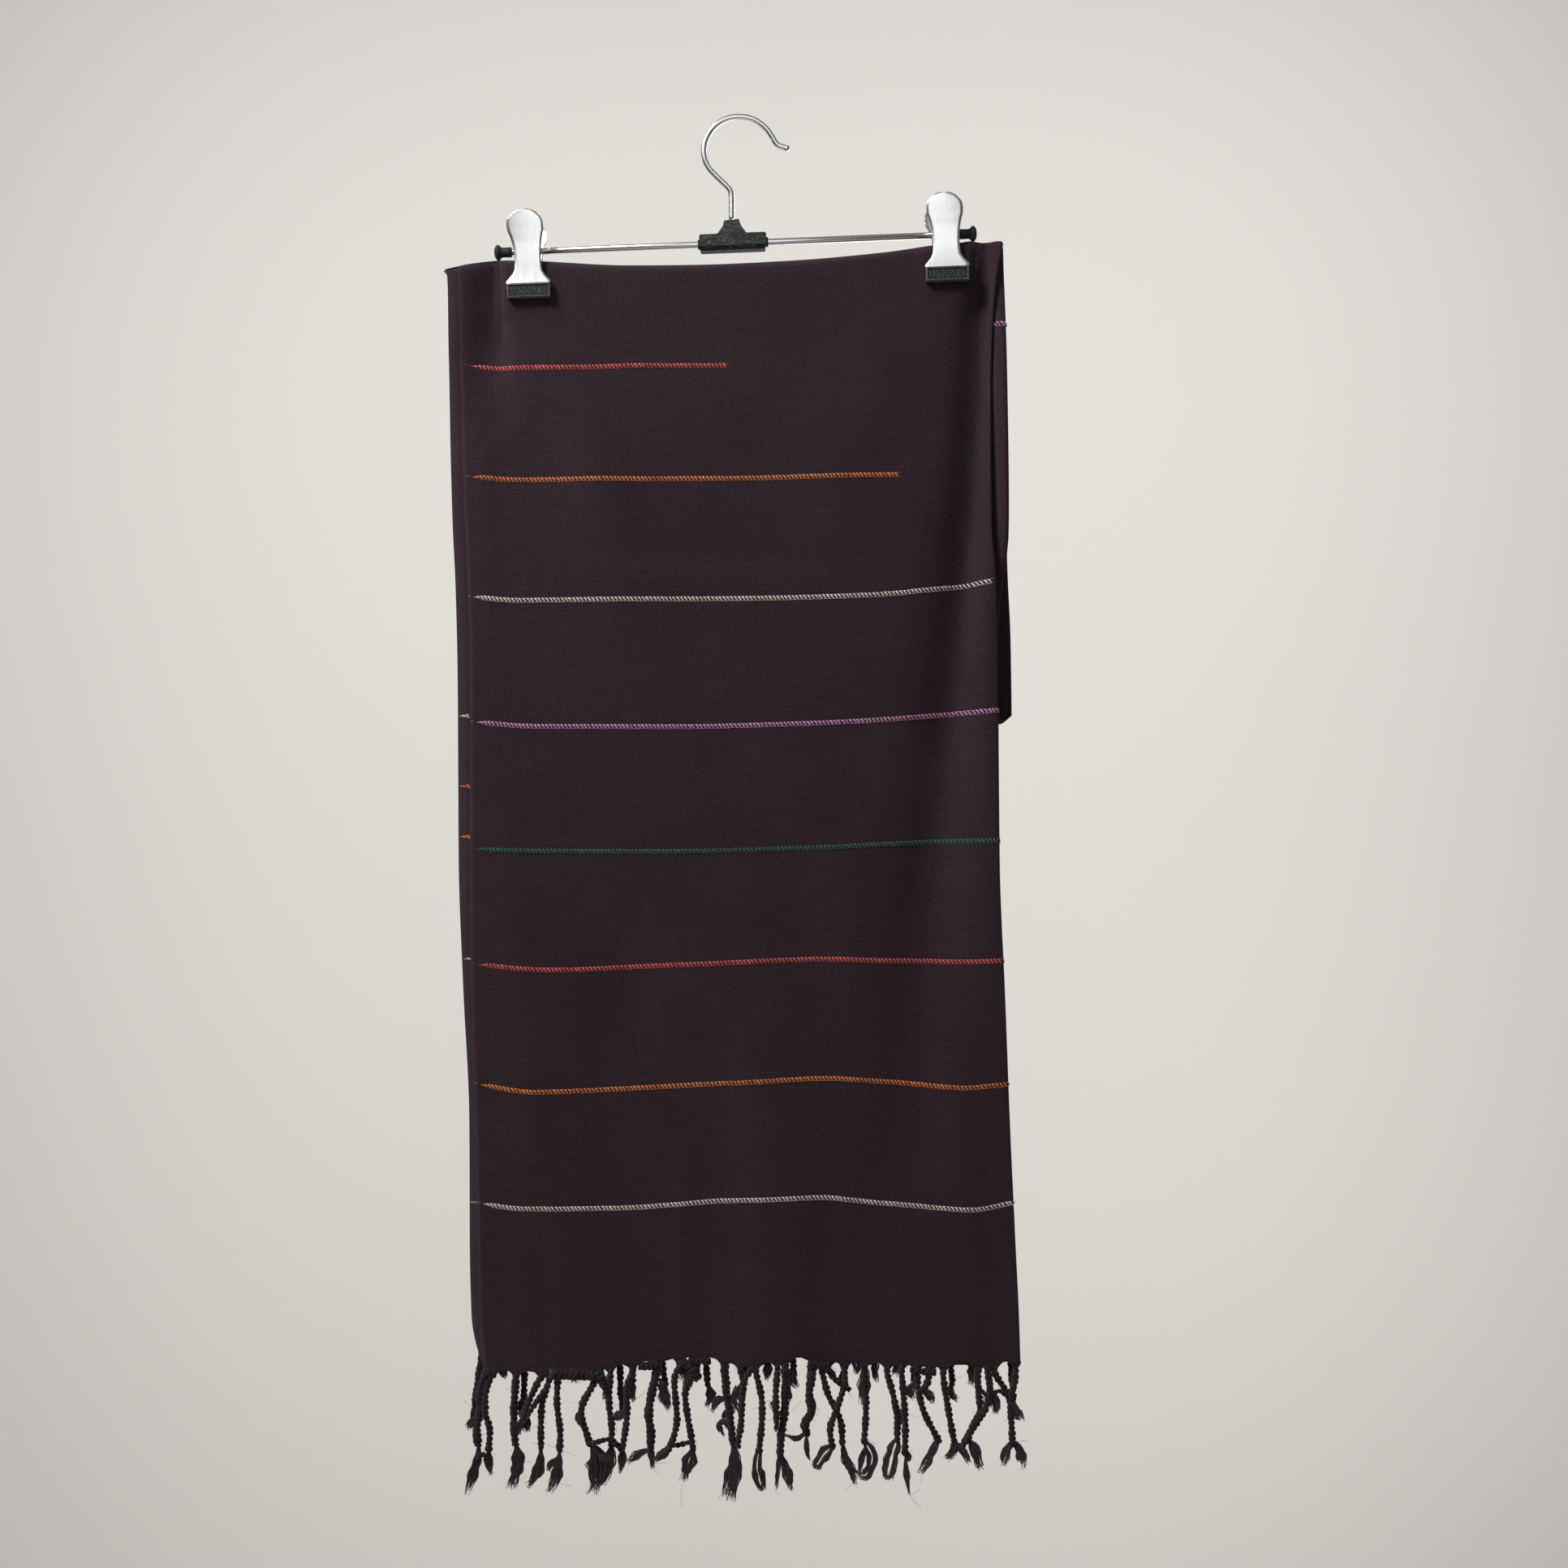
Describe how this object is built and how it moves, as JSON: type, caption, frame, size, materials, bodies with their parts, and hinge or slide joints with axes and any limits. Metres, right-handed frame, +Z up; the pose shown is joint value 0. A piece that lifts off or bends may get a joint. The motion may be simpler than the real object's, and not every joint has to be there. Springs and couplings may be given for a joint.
{
  "type": "stole on a clip hanger",
  "caption": "Dark woven stole with thin inlaid stripes and corded fringe, folded and held by the two clips of a metal bar hanger with a hook.",
  "frame": {"origin": "inside of the hook's crown, where the nail or rail carries it", "axes": "+Z up along the hang, +X to the right seen from the front, the front faces -Y"},
  "size_m": [0.3361, 0.0272, 0.8128],
  "materials": {
    "chrome_wire": "polished",
    "satin_steel": "satin brushed",
    "spring_steel": "bright drawn wire",
    "black_plastic": "moulded, slightly satin",
    "black_rubber": "matte",
    "stole_cloth": "fine brushed wool weave with thin inlaid stripes",
    "fringe_yarn": "twisted yarn cords with loose tufts"
  },
  "bodies": {
    "root": {"hook": "chrome_wire", "bar": "chrome_wire", "boss": "black_plastic", "cap_left": "black_rubber", "cap_right": "black_rubber", "clip_left_front_lever": "satin_steel", "clip_left_front_pad": "black_rubber", "clip_left_rear_lever": "satin_steel", "clip_left_rear_pad": "black_rubber", "clip_left_spring": "spring_steel", "clip_right_front_lever": "satin_steel", "clip_right_front_pad": "black_rubber", "clip_right_rear_lever": "satin_steel", "clip_right_rear_pad": "black_rubber", "clip_right_spring": "spring_steel", "front_ply": "stole_cloth", "under_ply": "stole_cloth", "back_flap": "stole_cloth", "fringe_front": "fringe_yarn", "fringe_under": "fringe_yarn"}
  },
  "joints": []
}
